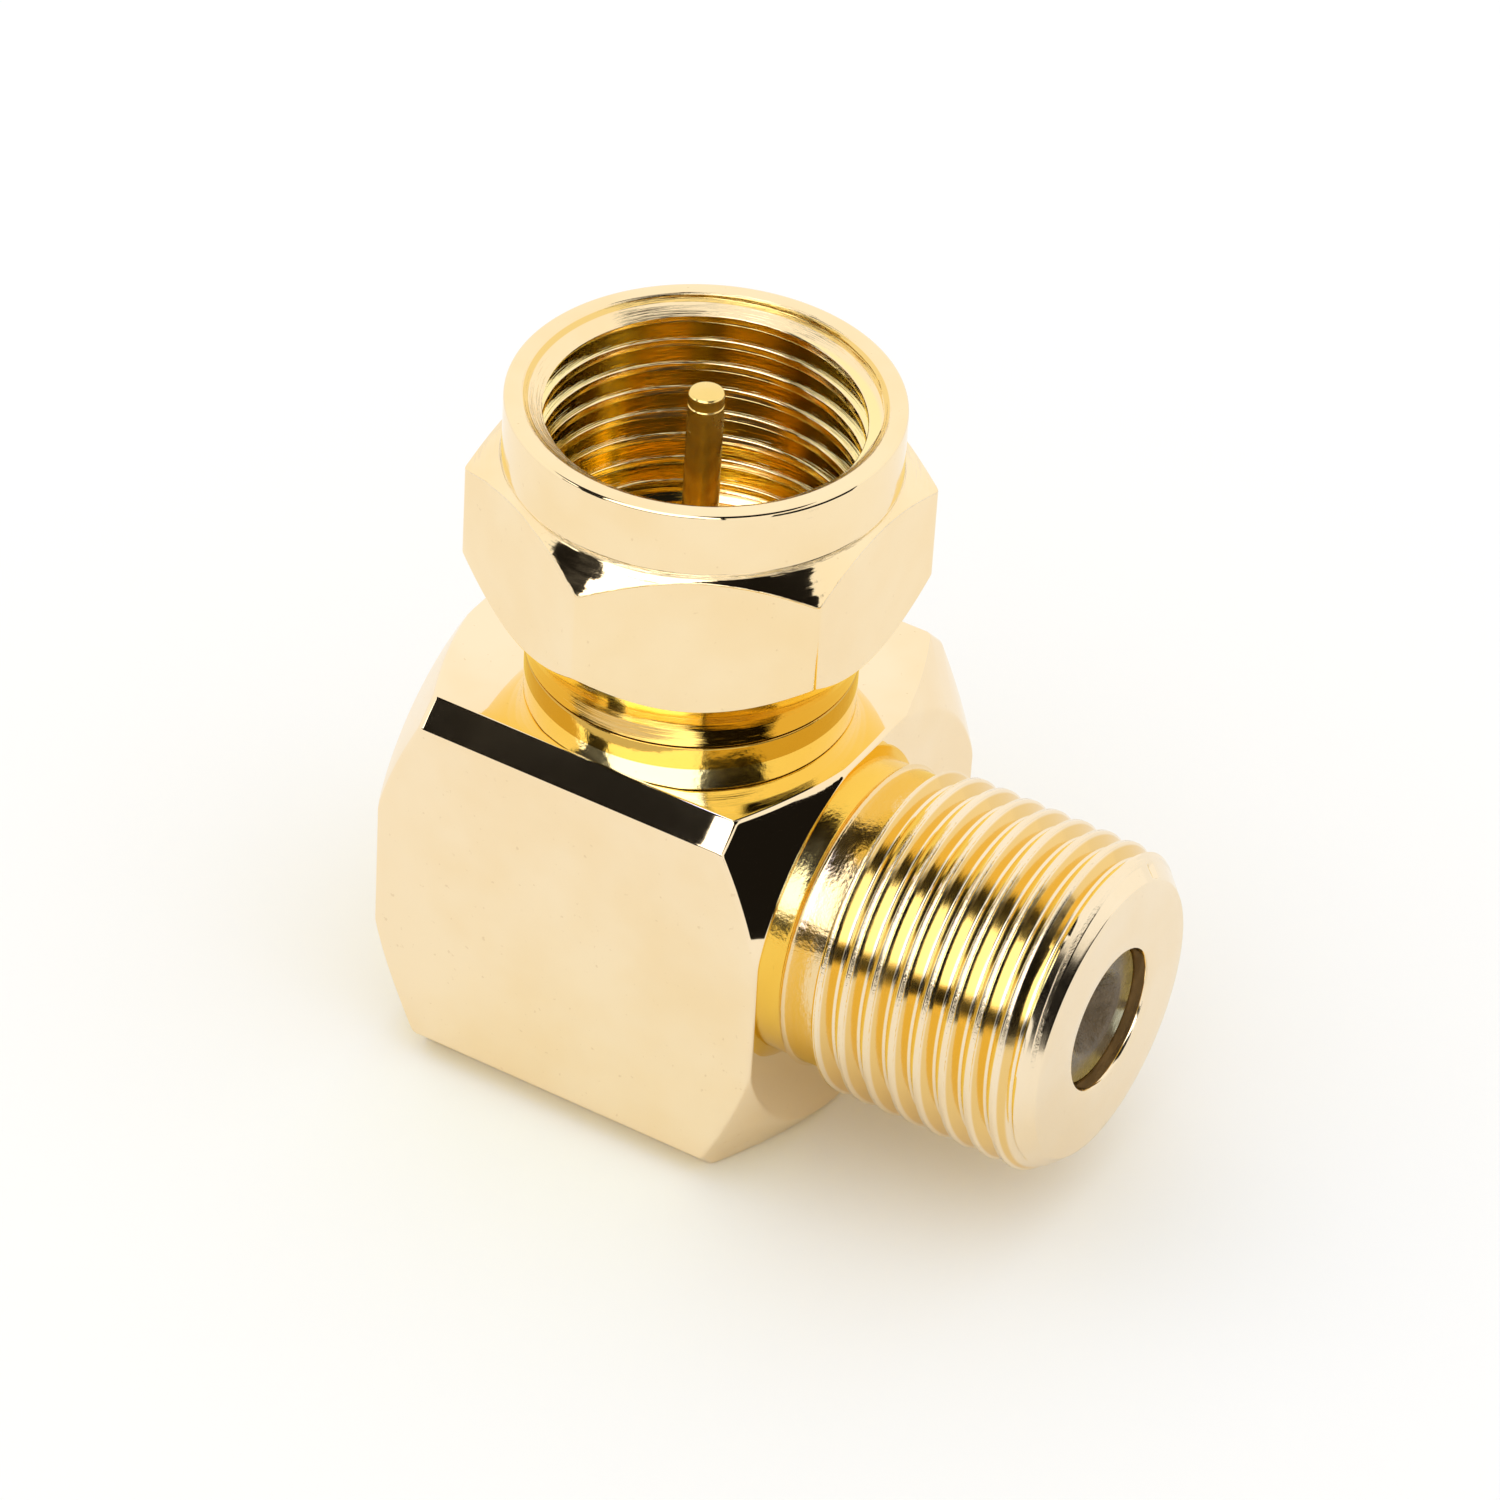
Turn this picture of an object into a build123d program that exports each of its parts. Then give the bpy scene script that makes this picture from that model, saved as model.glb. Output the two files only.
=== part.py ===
"""Right-angle coaxial adapter: a square-bar elbow with a threaded female jack (+X)
and a male port with a captive hex nut (+Z).

All sizes in millimetres. +Z is up, the origin is the centre of the block's underside
below the male port's axis. Names in x_ and z_ are places, names in _r are radii.
"""
import os

from build123d import *

os.makedirs("parts", exist_ok=True)

# ---------------------------------------------------------------- shared dimensions
clearance = 0.02             # fit between assembled pieces

# elbow block
block_width = 11.70          # across Y
block_height = 12.16         # along Z
axis_height = 6.13           # jack axis above the underside
x_front = 5.93               # jack-side end face
x_rear = -6.39               # far end face

# male port
z_top = block_height         # block top face
z_nut0 = z_top + 0.76        # nut underside, boss and play included
pitch = 25.4 / 32            # 3/8-32 thread, on nut and jack
ring_groove_r = 4.05         # clip groove in the nut
post_groove_r = 2.95         # clip groove in the post
post_spigot_r = 3.00
post_bore_r = 2.20
z_post0 = axis_height + 2.60
z_post1 = axis_height + 8.70
ring_t = 0.50                # retaining ring thickness
z_ring0 = axis_height + 7.12
z_ring1 = z_ring0 + ring_t
pin_r = 0.50
pin_collar_r = 0.70          # part of the pin held in the insulator
z_pin_taper0 = z_post0 + 0.30  # taper from pin to collar
z_pin_taper1 = z_post0 + 0.45

# jack, distances along X from the male axis
x_jack = 13.77               # jack front face
jack_major_r = 4.74
jack_root_r = 4.37
jack_lip_r = 2.07
jack_bore_r = 3.05
jack_spigot_r = 3.40
x_spigot = 3.10
x_lip = 12.40
x_ins_split = 7.20           # joint between the two jack insulators
contact_stem_r = 0.90
contact_tube_r = 1.15
x_contact1 = 12.00           # front end of the female contact
plug_r = 2.80
x_plug1 = -4.60              # inner face of the rear plug

# sketch planes: across the jack axis, and along it with the axis as the local x axis
jack_plane = Plane(origin=(0, 0, axis_height), x_dir=(0, 1, 0), z_dir=(1, 0, 0))
side = Plane(origin=(0, 0, axis_height), x_dir=(1, 0, 0), z_dir=(0, -1, 0))
jack_axis = Axis((0, 0, axis_height), (1, 0, 0))


def save(part, name):
    """Label a piece and write its STEP file."""
    part.label = name
    export_step(part, f"parts/{name}.step")


def turned(profile, plane, axis):
    """Solid of revolution from a closed outline."""
    with BuildPart() as piece:
        with BuildSketch(plane):
            with BuildLine():
                Polyline(*profile, close=True)
            make_face()
        revolve(axis=axis)
    return piece.part


def thread_groove(start, direction, radius, height, mouth, floor):
    """Helical groove; mouth and floor are (radial offset from the helix, half width)."""
    mouth_offset, mouth_half = mouth
    floor_offset, floor_half = floor
    with BuildPart() as groove:
        with BuildLine() as helix:
            Helix(pitch=pitch, height=height, radius=radius, center=start, direction=direction)
        with BuildSketch(
            Plane(
                origin=helix.line @ 0,
                x_dir=(helix.line @ 0) - Vector(*start),
                z_dir=helix.line % 0,
            )
        ):
            with BuildLine():
                Polyline(
                    (mouth_offset, -mouth_half),
                    (floor_offset, -floor_half),
                    (floor_offset, floor_half),
                    (mouth_offset, mouth_half),
                    close=True,
                )
            make_face()
        sweep(path=helix.line, is_frenet=True)
    return groove.part


# ---------------------------------------------------------------- elbow block
edge_chamfer = 0.70          # 45 degree chamfer on the four long edges
edge_round = 0.20            # rounding of the chamfers' edges
end_disc_r = 6.10            # radius where the turned end cone starts
end_cone_ratio = 0.73        # axial travel per radial travel on the end cone
envelope_r = 10.0            # turning envelope, beyond the block's corners
cone_run = end_cone_ratio * (envelope_r - end_disc_r)
cavity_r = 2.50

with BuildPart() as elbow_body:
    with BuildSketch(Plane.YZ.offset(x_rear)):
        with Locations((0, block_height / 2)):
            Rectangle(block_width, block_height)
    extrude(amount=x_front - x_rear)
    chamfer(elbow_body.edges().filter_by(Axis.X), edge_chamfer)
    fillet(elbow_body.edges().filter_by(Axis.X), edge_round)
    # both ends turned to a shallow cone about the jack axis
    with BuildSketch(side):
        with BuildLine():
            Polyline(
                (x_rear, 0),
                (x_rear, end_disc_r),
                (x_rear + cone_run, envelope_r),
                (x_front - cone_run, envelope_r),
                (x_front, end_disc_r),
                (x_front, 0),
                close=True,
            )
        make_face()
    revolve(axis=jack_axis, mode=Mode.INTERSECT)
    # vertical bore for the male post, from the top down to the jack axis
    for z_start, z_end, radius in (
        (z_top, z_post0, post_spigot_r),
        (z_post0, axis_height, post_bore_r),
    ):
        with BuildSketch(Plane.XY.offset(z_start)):
            Circle(radius)
        extrude(amount=-(z_start - z_end), mode=Mode.SUBTRACT)
    # horizontal bore: barrel seat, cavity, plug seat
    for x_start, x_end, radius in (
        (x_front, x_spigot, jack_spigot_r),
        (x_spigot, x_plug1, cavity_r),
        (x_plug1, x_rear, plug_r),
    ):
        with BuildSketch(jack_plane.offset(x_start)):
            Circle(radius)
        extrude(amount=-(x_start - x_end), mode=Mode.SUBTRACT)
save(elbow_body.part, "elbow_body")

# ---------------------------------------------------------------- threaded jack barrel
jack_relief_r = 4.34         # plain ring between block and thread
relief_corner = 0.12         # rounded inner corner where the ring meets the block plane
jack_face_r = 4.07           # inner radius of the 45 degree bevel at the front face
jack_lip_bevel = 0.06
x_thread0 = 6.94             # end of the plain ring
thread_shoulder = 0.12       # axial run of the slope up to the thread's major radius
x_groove0 = 6.621            # thread groove centre at the helix start
groove_overrun = 0.5         # helix length past the front face
jack_crest_w = 0.16          # flat on top of each crest
groove_w = pitch - jack_crest_w

jack_groove = thread_groove(
    start=(x_groove0, 0, axis_height),
    direction=(1, 0, 0),
    radius=jack_major_r,
    height=x_jack + groove_overrun - x_groove0,
    mouth=(0.06, groove_w / 2 + 0.05),  # flanks carried on past the major radius
    floor=(jack_root_r - jack_major_r, 0.04),
)

with BuildPart() as jack_barrel:
    with BuildSketch(side):
        with BuildLine():
            Polyline(
                (x_spigot + clearance, jack_bore_r),
                (x_spigot + clearance, jack_spigot_r),
                (x_front, jack_spigot_r),
                (x_front, jack_relief_r + relief_corner),
                (x_front + relief_corner / 3, jack_relief_r + relief_corner / 3),
                (x_front + relief_corner, jack_relief_r),
                (x_thread0, jack_relief_r),
                (x_thread0 + thread_shoulder, jack_major_r),
                (x_jack - (jack_major_r - jack_face_r), jack_major_r),
                (x_jack, jack_face_r),
                (x_jack, jack_lip_r + jack_lip_bevel),
                (x_jack - jack_lip_bevel, jack_lip_r),
                (x_lip, jack_lip_r),
                (x_lip, jack_bore_r),
                close=True,
            )
        make_face()
    revolve(axis=jack_axis)
    add(jack_groove, mode=Mode.SUBTRACT)
save(jack_barrel.part, "jack_barrel")

# ---------------------------------------------------------------- captive coupling nut
hex_af = 11.11               # 7/16 in across flats
hex_r = hex_af / 2
corner_r = hex_af / 3**0.5
hex_outer_r = corner_r + 0.2  # just outside the hex corners
hex_turn = 30.84             # direction of one hex corner, degrees from +X
z_hex_mid = 14.83            # underside cone meets the middle of a flat
cone_slope = 1.10            # rise per radius on the underside cone
z_collar = 19.20             # shoulder cone meets the collar
shoulder_slope = 0.74        # fall per radius on the shoulder cone
collar_r = 5.43
z_rim = 21.19                # nut rim
rim_round = 0.13
nut_foot_r = 4.60            # outside radius of the nut's foot
foot_bevel = 0.05
# flare above the foot: (radius beyond nut_foot_r, height above z_nut0)
foot_flare = [(0.02, 0.30), (0.06, 0.60), (0.17, 0.93), (0.40, 1.29)]
# blend from shoulder cone to collar: (radius beyond collar_r, height above z_collar)
collar_blend = [
    (0.089, -0.089 * shoulder_slope),
    (0.052, -0.030),
    (0.024, 0.011),
    (0.006, 0.062),
    (0, 0.111),
]

nut_minor_r = 4.37
nut_major_r = 4.80
nut_lip_r = 3.45             # bore that runs on the post
lip_entry_bevel = 0.10
z_lip_top = z_ring1 + 0.42
lip_top_bevel = 0.15
z_floor = z_lip_top + lip_top_bevel  # floor of the thread bore
mouth_r = 4.97               # bevel at the mouth, radius at the rim
mouth_depth = 0.39           # bevel depth, down to the thread's minor radius
cut_overrun = 1              # inside cut past both end faces
nut_thread_turn = 37         # degrees about Z

nut_groove = thread_groove(
    start=(0, 0, axis_height + 8.442),
    direction=(0, 0, 1),
    radius=nut_minor_r,
    height=pitch * 8.35,
    mouth=(-0.10, 0.33),     # starts inside the minor radius
    floor=(nut_major_r - nut_minor_r, 0.06),
)

with BuildPart() as coupling_nut:
    with BuildSketch(Plane.XY.offset(z_nut0)):
        RegularPolygon(radius=corner_r, side_count=6, rotation=hex_turn)
    extrude(amount=z_rim - z_nut0)
    # outside turned: foot, underside cone, hex, shoulder cone, round collar
    with BuildSketch(Plane.XZ):
        with BuildLine():
            Polyline(
                (0, z_nut0),
                (nut_foot_r - foot_bevel, z_nut0),
                (nut_foot_r, z_nut0 + foot_bevel),
                *[(nut_foot_r + out, z_nut0 + up) for out, up in foot_flare],
                (hex_r, z_hex_mid),
                (hex_outer_r, z_hex_mid + cone_slope * (hex_outer_r - hex_r)),
                (hex_outer_r, z_collar - (hex_outer_r - collar_r) * shoulder_slope),
                *[(collar_r + out, z_collar + up) for out, up in collar_blend],
                (collar_r, z_rim - rim_round),
                (collar_r - 0.3 * rim_round, z_rim - 0.3 * rim_round),
                (collar_r - rim_round, z_rim),
                (0, z_rim),
                close=True,
            )
        make_face()
    revolve(axis=Axis.Z, mode=Mode.INTERSECT)
    # inside: lip, clip groove, floor, thread bore, mouth
    with BuildSketch(Plane.XZ):
        with BuildLine():
            Polyline(
                (0, z_nut0 - cut_overrun),
                (nut_lip_r + lip_entry_bevel, z_nut0 - cut_overrun),
                (nut_lip_r + lip_entry_bevel, z_nut0),
                (nut_lip_r, z_nut0 + lip_entry_bevel),
                (nut_lip_r, z_ring0 - clearance),
                (ring_groove_r, z_ring0 - clearance),
                (ring_groove_r, z_ring1 + clearance),
                (nut_lip_r, z_ring1 + clearance),
                (nut_lip_r, z_lip_top),
                (nut_lip_r + lip_top_bevel, z_floor),
                (nut_minor_r, z_floor),
                (nut_minor_r, z_rim - mouth_depth),
                (mouth_r, z_rim),
                (mouth_r, z_rim + cut_overrun),
                (0, z_rim + cut_overrun),
                close=True,
            )
        make_face()
    revolve(axis=Axis.Z, mode=Mode.SUBTRACT)
    add(nut_groove, rotation=(0, 0, nut_thread_turn), mode=Mode.SUBTRACT)
save(coupling_nut.part, "coupling_nut")

# ---------------------------------------------------------------- male post
boss_r = 4.60                # round boss under the nut
z_boss = z_top + 0.70
boss_bevel = 0.06
post_r = 3.38
post_bevel = 0.15            # outer bevel at both ends
post_bore_bevel = 0.10
nut_float = 0.30             # axial play of the nut above its rest place
z_groove0 = z_ring0 - 2 * clearance
z_groove1 = z_ring1 + nut_float + clearance

male_post = turned(
    [
        (post_bore_r, z_post0 + clearance),
        (post_spigot_r - post_bevel, z_post0 + clearance),
        (post_spigot_r, z_post0 + clearance + post_bevel),
        (post_spigot_r, z_top),
        (boss_r, z_top),
        (boss_r, z_boss - boss_bevel),
        (boss_r - boss_bevel, z_boss),
        (post_r, z_boss),
        (post_r, z_groove0),
        (post_groove_r, z_groove0),
        (post_groove_r, z_groove1),
        (post_r, z_groove1),
        (post_r, z_post1 - post_bevel),
        (post_r - post_bevel, z_post1),
        (post_bore_r + post_bore_bevel, z_post1),
        (post_bore_r, z_post1 - post_bore_bevel),
    ],
    Plane.XZ,
    Axis.Z,
)
save(male_post, "male_post")

# ---------------------------------------------------------------- split retaining ring
ring_outer_gap = 0.10        # radial gap to the nut's groove floor
ring_inner_gap = 0.08        # radial gap to the post's groove floor
split_length = 3.0           # cutter, along X
split_width = 0.9            # opening, along Y
ring_bevel = 0.05

with BuildPart() as retaining_ring:
    with BuildSketch(Plane.XY.offset(z_ring0)):
        Circle(ring_groove_r - ring_outer_gap)
        Circle(post_groove_r + ring_inner_gap, mode=Mode.SUBTRACT)
        with Locations((ring_groove_r, 0)):
            Rectangle(split_length, split_width, mode=Mode.SUBTRACT)
    extrude(amount=ring_t)
    chamfer(retaining_ring.edges().filter_by(GeomType.CIRCLE), ring_bevel)
save(retaining_ring.part, "retaining_ring")

# ---------------------------------------------------------------- male centre pin
z_pin0 = axis_height - 1.15
z_pin1 = axis_height + 15.32
pin_foot_bevel = 0.12
z_pin_collar = z_post1 - 0.28  # top of the collar
pin_collar_bevel = 0.06
pin_tip_r = pin_r * 0.20     # flat at the tip
# upper end of the pin: (radius below pin_r, depth below z_pin1)
pin_end = [(0, 0.47), (0.030, 0.44), (0.008, 0.41), (0.008, 0.11), (0.065, 0.07)]

centre_pin = turned(
    [
        (0, z_pin0),
        (pin_r - pin_foot_bevel, z_pin0),
        (pin_r, z_pin0 + pin_foot_bevel),
        (pin_r, z_pin_taper0),
        (pin_collar_r, z_pin_taper1),
        (pin_collar_r, z_pin_collar - pin_collar_bevel),
        (pin_collar_r - pin_collar_bevel, z_pin_collar),
        (pin_r, z_pin_collar),
        *[(pin_r - inset, z_pin1 - depth) for inset, depth in pin_end],
        (pin_tip_r, z_pin1),
        (0, z_pin1),
    ],
    Plane.XZ,
    Axis.Z,
)
save(centre_pin, "centre_pin")

# ---------------------------------------------------------------- male insulator
z_male_ins1 = z_post1 - 0.35
male_ins_r = post_bore_r - clearance
male_ins_bevel = 0.12

male_insulator = turned(
    [
        (pin_r + clearance, z_post0 + clearance),
        (male_ins_r, z_post0 + clearance),
        (male_ins_r, z_male_ins1 - male_ins_bevel),
        (male_ins_r - male_ins_bevel, z_male_ins1),
        (pin_collar_r, z_male_ins1),
        (pin_collar_r, z_pin_taper1),
        (pin_r + clearance, z_pin_taper0),
    ],
    Plane.XZ,
    Axis.Z,
)
save(male_insulator, "male_insulator")

# ---------------------------------------------------------------- female spring contact
x_contact0 = -1.20
contact_stem_bevel = 0.12
contact_bore_r = 0.72
bore_depth = 4.90            # straight bore, from the front end
bore_tip_depth = 5.30        # point of the bore's conical end
# outside of the tines: (distance behind the front end, radius below contact_tube_r)
tine_outside = [(2.20, 0), (0.70, 0.22), (0.12, 0.16), (0, 0.26)]
# inside of the tines: (distance behind the front end, radius)
tine_inside = [(0, 0.60), (0.18, 0.50), (0.70, 0.46), (2.20, contact_bore_r)]
tine_gap = 0.24
tine_len = 4.20
slot_span = 3.0              # wider than the contact
cross_hole_len = 3.0

with BuildPart() as female_contact:
    with BuildSketch(side):
        with BuildLine():
            Polyline(
                (x_contact0, 0),
                (x_contact0, contact_stem_r - contact_stem_bevel),
                (x_contact0 + contact_stem_bevel, contact_stem_r),
                (x_ins_split, contact_stem_r),
                (x_ins_split, contact_tube_r),
                *[(x_contact1 - back, contact_tube_r - inset) for back, inset in tine_outside],
                *[(x_contact1 - back, radius) for back, radius in tine_inside],
                (x_contact1 - bore_depth, contact_bore_r),
                (x_contact1 - bore_tip_depth, 0),
                close=True,
            )
        make_face()
    revolve(axis=jack_axis)
    # two crossed slots part the front end into four tines
    with BuildSketch(jack_plane.offset(x_contact1)):
        Rectangle(slot_span, tine_gap)
        Rectangle(tine_gap, slot_span)
    extrude(amount=-tine_len, mode=Mode.SUBTRACT)
    # cross hole that takes the foot of the centre pin
    with Locations((0, 0, axis_height)):
        Cylinder(radius=pin_r, height=cross_hole_len, mode=Mode.SUBTRACT)
save(female_contact.part, "female_contact")

# ---------------------------------------------------------------- solder fillet
solder_foot_r = 0.86
solder_top_r = pin_r + 0.06
solder_h = 0.66
z_solder_mid = axis_height + 1.02

with BuildPart() as solder_joint:
    with Locations((0, 0, z_solder_mid)):
        Cone(bottom_radius=solder_foot_r, top_radius=solder_top_r, height=solder_h)
    # room for the contact stem, then for the pin
    with Locations(Location((0, 0, axis_height), (0, 90, 0))):
        Cylinder(radius=contact_stem_r, height=8.0, mode=Mode.SUBTRACT)
    with Locations((0, 0, axis_height)):
        Cylinder(radius=pin_r, height=6.0, mode=Mode.SUBTRACT)
save(solder_joint.part, "solder_joint")

# ---------------------------------------------------------------- jack insulators
jack_ins_r = jack_bore_r - clearance
x_ins_rear = x_spigot + 2 * clearance
ins_rear_bevel = 0.15

jack_insulator_rear = turned(
    [
        (x_ins_rear, contact_stem_r),
        (x_ins_rear, jack_ins_r - ins_rear_bevel),
        (x_ins_rear + ins_rear_bevel, jack_ins_r),
        (x_ins_split, jack_ins_r),
        (x_ins_split, contact_stem_r),
    ],
    side,
    jack_axis,
)
save(jack_insulator_rear, "jack_insulator_rear")

x_ins_face = 13.35           # front face of the front insulator
ins_nose_r = jack_lip_r - clearance
ins_nose_bevel = 0.08
ins_bore_r = contact_tube_r + 0.15
x_ins_step = x_contact1 + 0.25  # end of the bore around the contact
pin_hole_r = 0.60

jack_insulator_front = turned(
    [
        (x_ins_split, ins_bore_r),
        (x_ins_split, jack_ins_r),
        (x_lip - clearance, jack_ins_r),
        (x_lip - clearance, ins_nose_r),
        (x_ins_face - ins_nose_bevel, ins_nose_r),
        (x_ins_face, ins_nose_r - ins_nose_bevel),
        # flared entry to the pin hole
        (x_ins_face, 1.30),
        (x_ins_face - 0.22, 0.98),
        (x_ins_face - 0.62, pin_hole_r),
        (x_ins_step, pin_hole_r),
        (x_ins_step, ins_bore_r),
    ],
    side,
    jack_axis,
)
save(jack_insulator_front, "jack_insulator_front")

# ---------------------------------------------------------------- rear access plug
x_plug0 = -6.20              # outer face
plug_bevel = 0.18

with BuildPart() as rear_plug:
    with BuildSketch(jack_plane.offset(x_plug0)):
        Circle(plug_r)
    extrude(amount=x_plug1 - x_plug0)
    chamfer(rear_plug.faces().sort_by(Axis.X)[0].edges(), plug_bevel)
save(rear_plug.part, "rear_plug")
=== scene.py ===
"""Right-angle coaxial adapter, gold plated.

An elbow block stands on the floor (z = 0). A hexagonal coupling nut rises from it about the
Z axis, over a male post with a centre pin. A threaded jack barrel leaves the block along +X,
on an axis AXIS_HEIGHT above the floor. The rear end of the block, at -X, is closed by a plug.
Sizes are in millimetres unless a comment says otherwise; MM turns them into metres.
"""
import math

import bmesh
import bpy
import numpy as np
from mathutils import Matrix


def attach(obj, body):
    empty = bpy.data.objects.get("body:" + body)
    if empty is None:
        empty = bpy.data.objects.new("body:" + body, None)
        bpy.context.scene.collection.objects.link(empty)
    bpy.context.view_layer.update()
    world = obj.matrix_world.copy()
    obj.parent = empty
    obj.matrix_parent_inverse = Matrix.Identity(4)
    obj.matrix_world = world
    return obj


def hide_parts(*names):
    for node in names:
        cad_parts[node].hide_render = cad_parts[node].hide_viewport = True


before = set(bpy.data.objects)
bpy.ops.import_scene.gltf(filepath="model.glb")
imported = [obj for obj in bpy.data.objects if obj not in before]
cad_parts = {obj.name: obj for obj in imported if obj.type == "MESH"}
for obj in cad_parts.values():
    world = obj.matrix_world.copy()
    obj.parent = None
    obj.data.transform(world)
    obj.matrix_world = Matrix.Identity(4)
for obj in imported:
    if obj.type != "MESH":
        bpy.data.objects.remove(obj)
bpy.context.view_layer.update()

scene = bpy.context.scene

MM = 0.001
TURN = 2 * math.pi

# ---------------------------------------------------------------- shared sizes
AXIS_HEIGHT = 6.13             # jack axis above the floor
PITCH = 25.4 / 32              # both threads
ELBOW_FRONT_X = 5.93           # front face of the block, and back of the jack flange
JACK_SHANK_R = 3.40            # jack shank and the counterbore that holds it
JACK_THREAD_X = 6.621          # a groove centre of the jack thread, at the top of the barrel
PLUG_R = 2.80
PLUG_SEAT_X = -4.60
POST_R = 3.00
POST_BORE_R = 2.20
POST_BASE_Z = 8.75
PIN_R, PIN_COLLAR_R = 0.50, 0.70
PIN_STEP_Z = (9.03, 9.18)      # cone between the two pin radii
SHOULDER_SLOPE = 0.74          # fall of the nut's turned shoulder per mm of radius


# ---------------------------------------------------------------- mesh helpers
def fillet_rows(corners, radii, steps=4, closed=False):
    """Rounds a polyline. corners is (corner, column, 2); every column gets the same row count."""
    corners = np.asarray(corners, float)
    count = len(corners)
    rows = []
    for i, radius in enumerate(radii):
        corner = corners[i]
        is_end = not closed and i in (0, count - 1)
        if is_end or radius <= 0:
            rows.append(corner)
            continue
        to_prev = corners[(i - 1) % count] - corner
        to_next = corners[(i + 1) % count] - corner
        len_prev = np.linalg.norm(to_prev, axis=1)
        len_next = np.linalg.norm(to_next, axis=1)
        dir_prev = to_prev / np.maximum(len_prev, 1e-9)[:, None]
        dir_next = to_next / np.maximum(len_next, 1e-9)[:, None]
        half = np.arccos(np.clip((dir_prev * dir_next).sum(1), -1, 1)) / 2
        reach = np.where(half > 1e-3, radius / np.tan(np.maximum(half, 1e-3)), 0)
        reach = np.minimum(reach, 0.48 * np.minimum(len_prev, len_next))
        for j in range(steps + 1):
            s = j / steps
            # quadratic arc, close to a circle for small radii
            rows.append(corner + dir_prev * (reach * (1 - s) ** 2)[:, None]
                        + dir_next * (reach * s**2)[:, None])
    return np.stack(rows)


def profile_row(columns, first, second):
    """One profile row; each coordinate is a number or holds one value per column."""
    values = (first, second)
    return np.stack([np.broadcast_to(np.asarray(v, float), (columns,)) for v in values], -1)


def link_object(name, mesh):
    ob = bpy.data.objects.new(name, mesh)
    scene.collection.objects.link(ob)
    return ob


def fix_normals(ob):
    bm = bmesh.new()
    bm.from_mesh(ob.data)
    bmesh.ops.recalc_face_normals(bm, faces=bm.faces)
    bm.to_mesh(ob.data)
    bm.free()


def grid_object(name, points, wrap_rows):
    """points is (row, column, 3); the last column lies on the first and the seam is welded."""
    rows, cols = points.shape[:2]
    row, col = np.meshgrid(np.arange(rows if wrap_rows else rows - 1), np.arange(cols - 1),
                           indexing="ij")
    after = (row + 1) % rows
    quads = np.stack([row * cols + col, row * cols + col + 1,
                      after * cols + col + 1, after * cols + col], -1).reshape(-1, 4)
    mesh = bpy.data.meshes.new(name)
    mesh.from_pydata((points.reshape(-1, 3) * MM).tolist(), [], quads.tolist())
    bm = bmesh.new()
    bm.from_mesh(mesh)
    bmesh.ops.remove_doubles(bm, verts=bm.verts, dist=2e-7)
    bmesh.ops.dissolve_degenerate(bm, edges=bm.edges, dist=1e-7)
    bm.normal_update()
    bm.to_mesh(mesh)
    bm.free()
    ob = link_object(name, mesh)
    fix_normals(ob)
    return ob


def around_z(profile, angles):
    """Profile as (radius, z), turned about Z."""
    radius, z = profile[..., 0], profile[..., 1]
    return np.stack([radius * np.cos(angles), radius * np.sin(angles), z], -1)


def around_x(profile, angles):
    """Profile as (x, radius), turned about the jack axis; angles run from +Y towards +Z."""
    x, radius = profile[..., 0], profile[..., 1]
    return np.stack([x, radius * np.cos(angles), AXIS_HEIGHT + radius * np.sin(angles)], -1)


def lathe(name, points, axis, segments, closed=True):
    """points are (radius, place along the axis, fillet radius)."""
    angles = np.linspace(0, TURN, segments + 1)
    angles[-1] = 0.0
    corners = np.array([p[:2] for p in points], float)[:, None, :]
    profile = fillet_rows(corners, [p[2] for p in points], closed=closed)
    profile = np.repeat(profile, segments + 1, axis=1)
    if axis == "z":
        return grid_object(name, around_z(profile, angles[None, :]), closed)
    return grid_object(name, around_x(profile[..., ::-1], angles[None, :]), closed)


def finish_piece(ob, body, cad_name, material, sharp_deg=34.0):
    mesh = ob.data
    mesh.shade_smooth()
    mesh.set_sharp_from_angle(angle=math.radians(sharp_deg))
    weighted = ob.modifiers.new("wn", "WEIGHTED_NORMAL")
    weighted.mode = "FACE_AREA"
    weighted.weight = 50
    weighted.keep_sharp = True
    mesh.materials.clear()
    mesh.materials.append(material)
    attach(ob, body)
    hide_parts(cad_name)


def lathe_piece(cad_name, material, axis, segments, points, closed=True):
    ob = lathe(cad_name + "_visual", points, axis, segments, closed)
    finish_piece(ob, "body", cad_name, material)


def groove_profile(open_width, flat_width, rim_r, floor_r, rim_fillet, floor_fillet=0.05):
    """One pitch of thread centred on its groove, as (offset, radius)."""
    corners = np.array([
        (-PITCH / 2, rim_r), (-open_width / 2, rim_r), (-flat_width / 2, floor_r),
        (flat_width / 2, floor_r), (open_width / 2, rim_r), (PITCH / 2, rim_r)], float)
    fillets = [0, rim_fillet, floor_fillet, floor_fillet, rim_fillet, 0]
    return fillet_rows(corners[:, None, :], fillets, steps=3)[:-1, 0, :]


def helix_rows(groove, centres, start, end, turns, extra):
    """Repeats the groove over a range of turns, from one groove centre per column.

    Returns (row, column) places, held to start..end with the extra stations, and radii.
    """
    turn = np.arange(turns[0], turns[1] + 1)
    offsets = (turn[:, None] * PITCH + groove[None, :, 0]).reshape(-1)
    groove_r = np.tile(groove[:, 1], len(turn))
    places, radii = [], []
    for centre in centres:
        stations = offsets + centre
        kept = np.sort(np.concatenate([np.clip(stations, start, end), extra]))
        places.append(kept)
        radii.append(np.interp(kept, stations, groove_r))
    return np.array(places).T, np.array(radii).T


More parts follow.
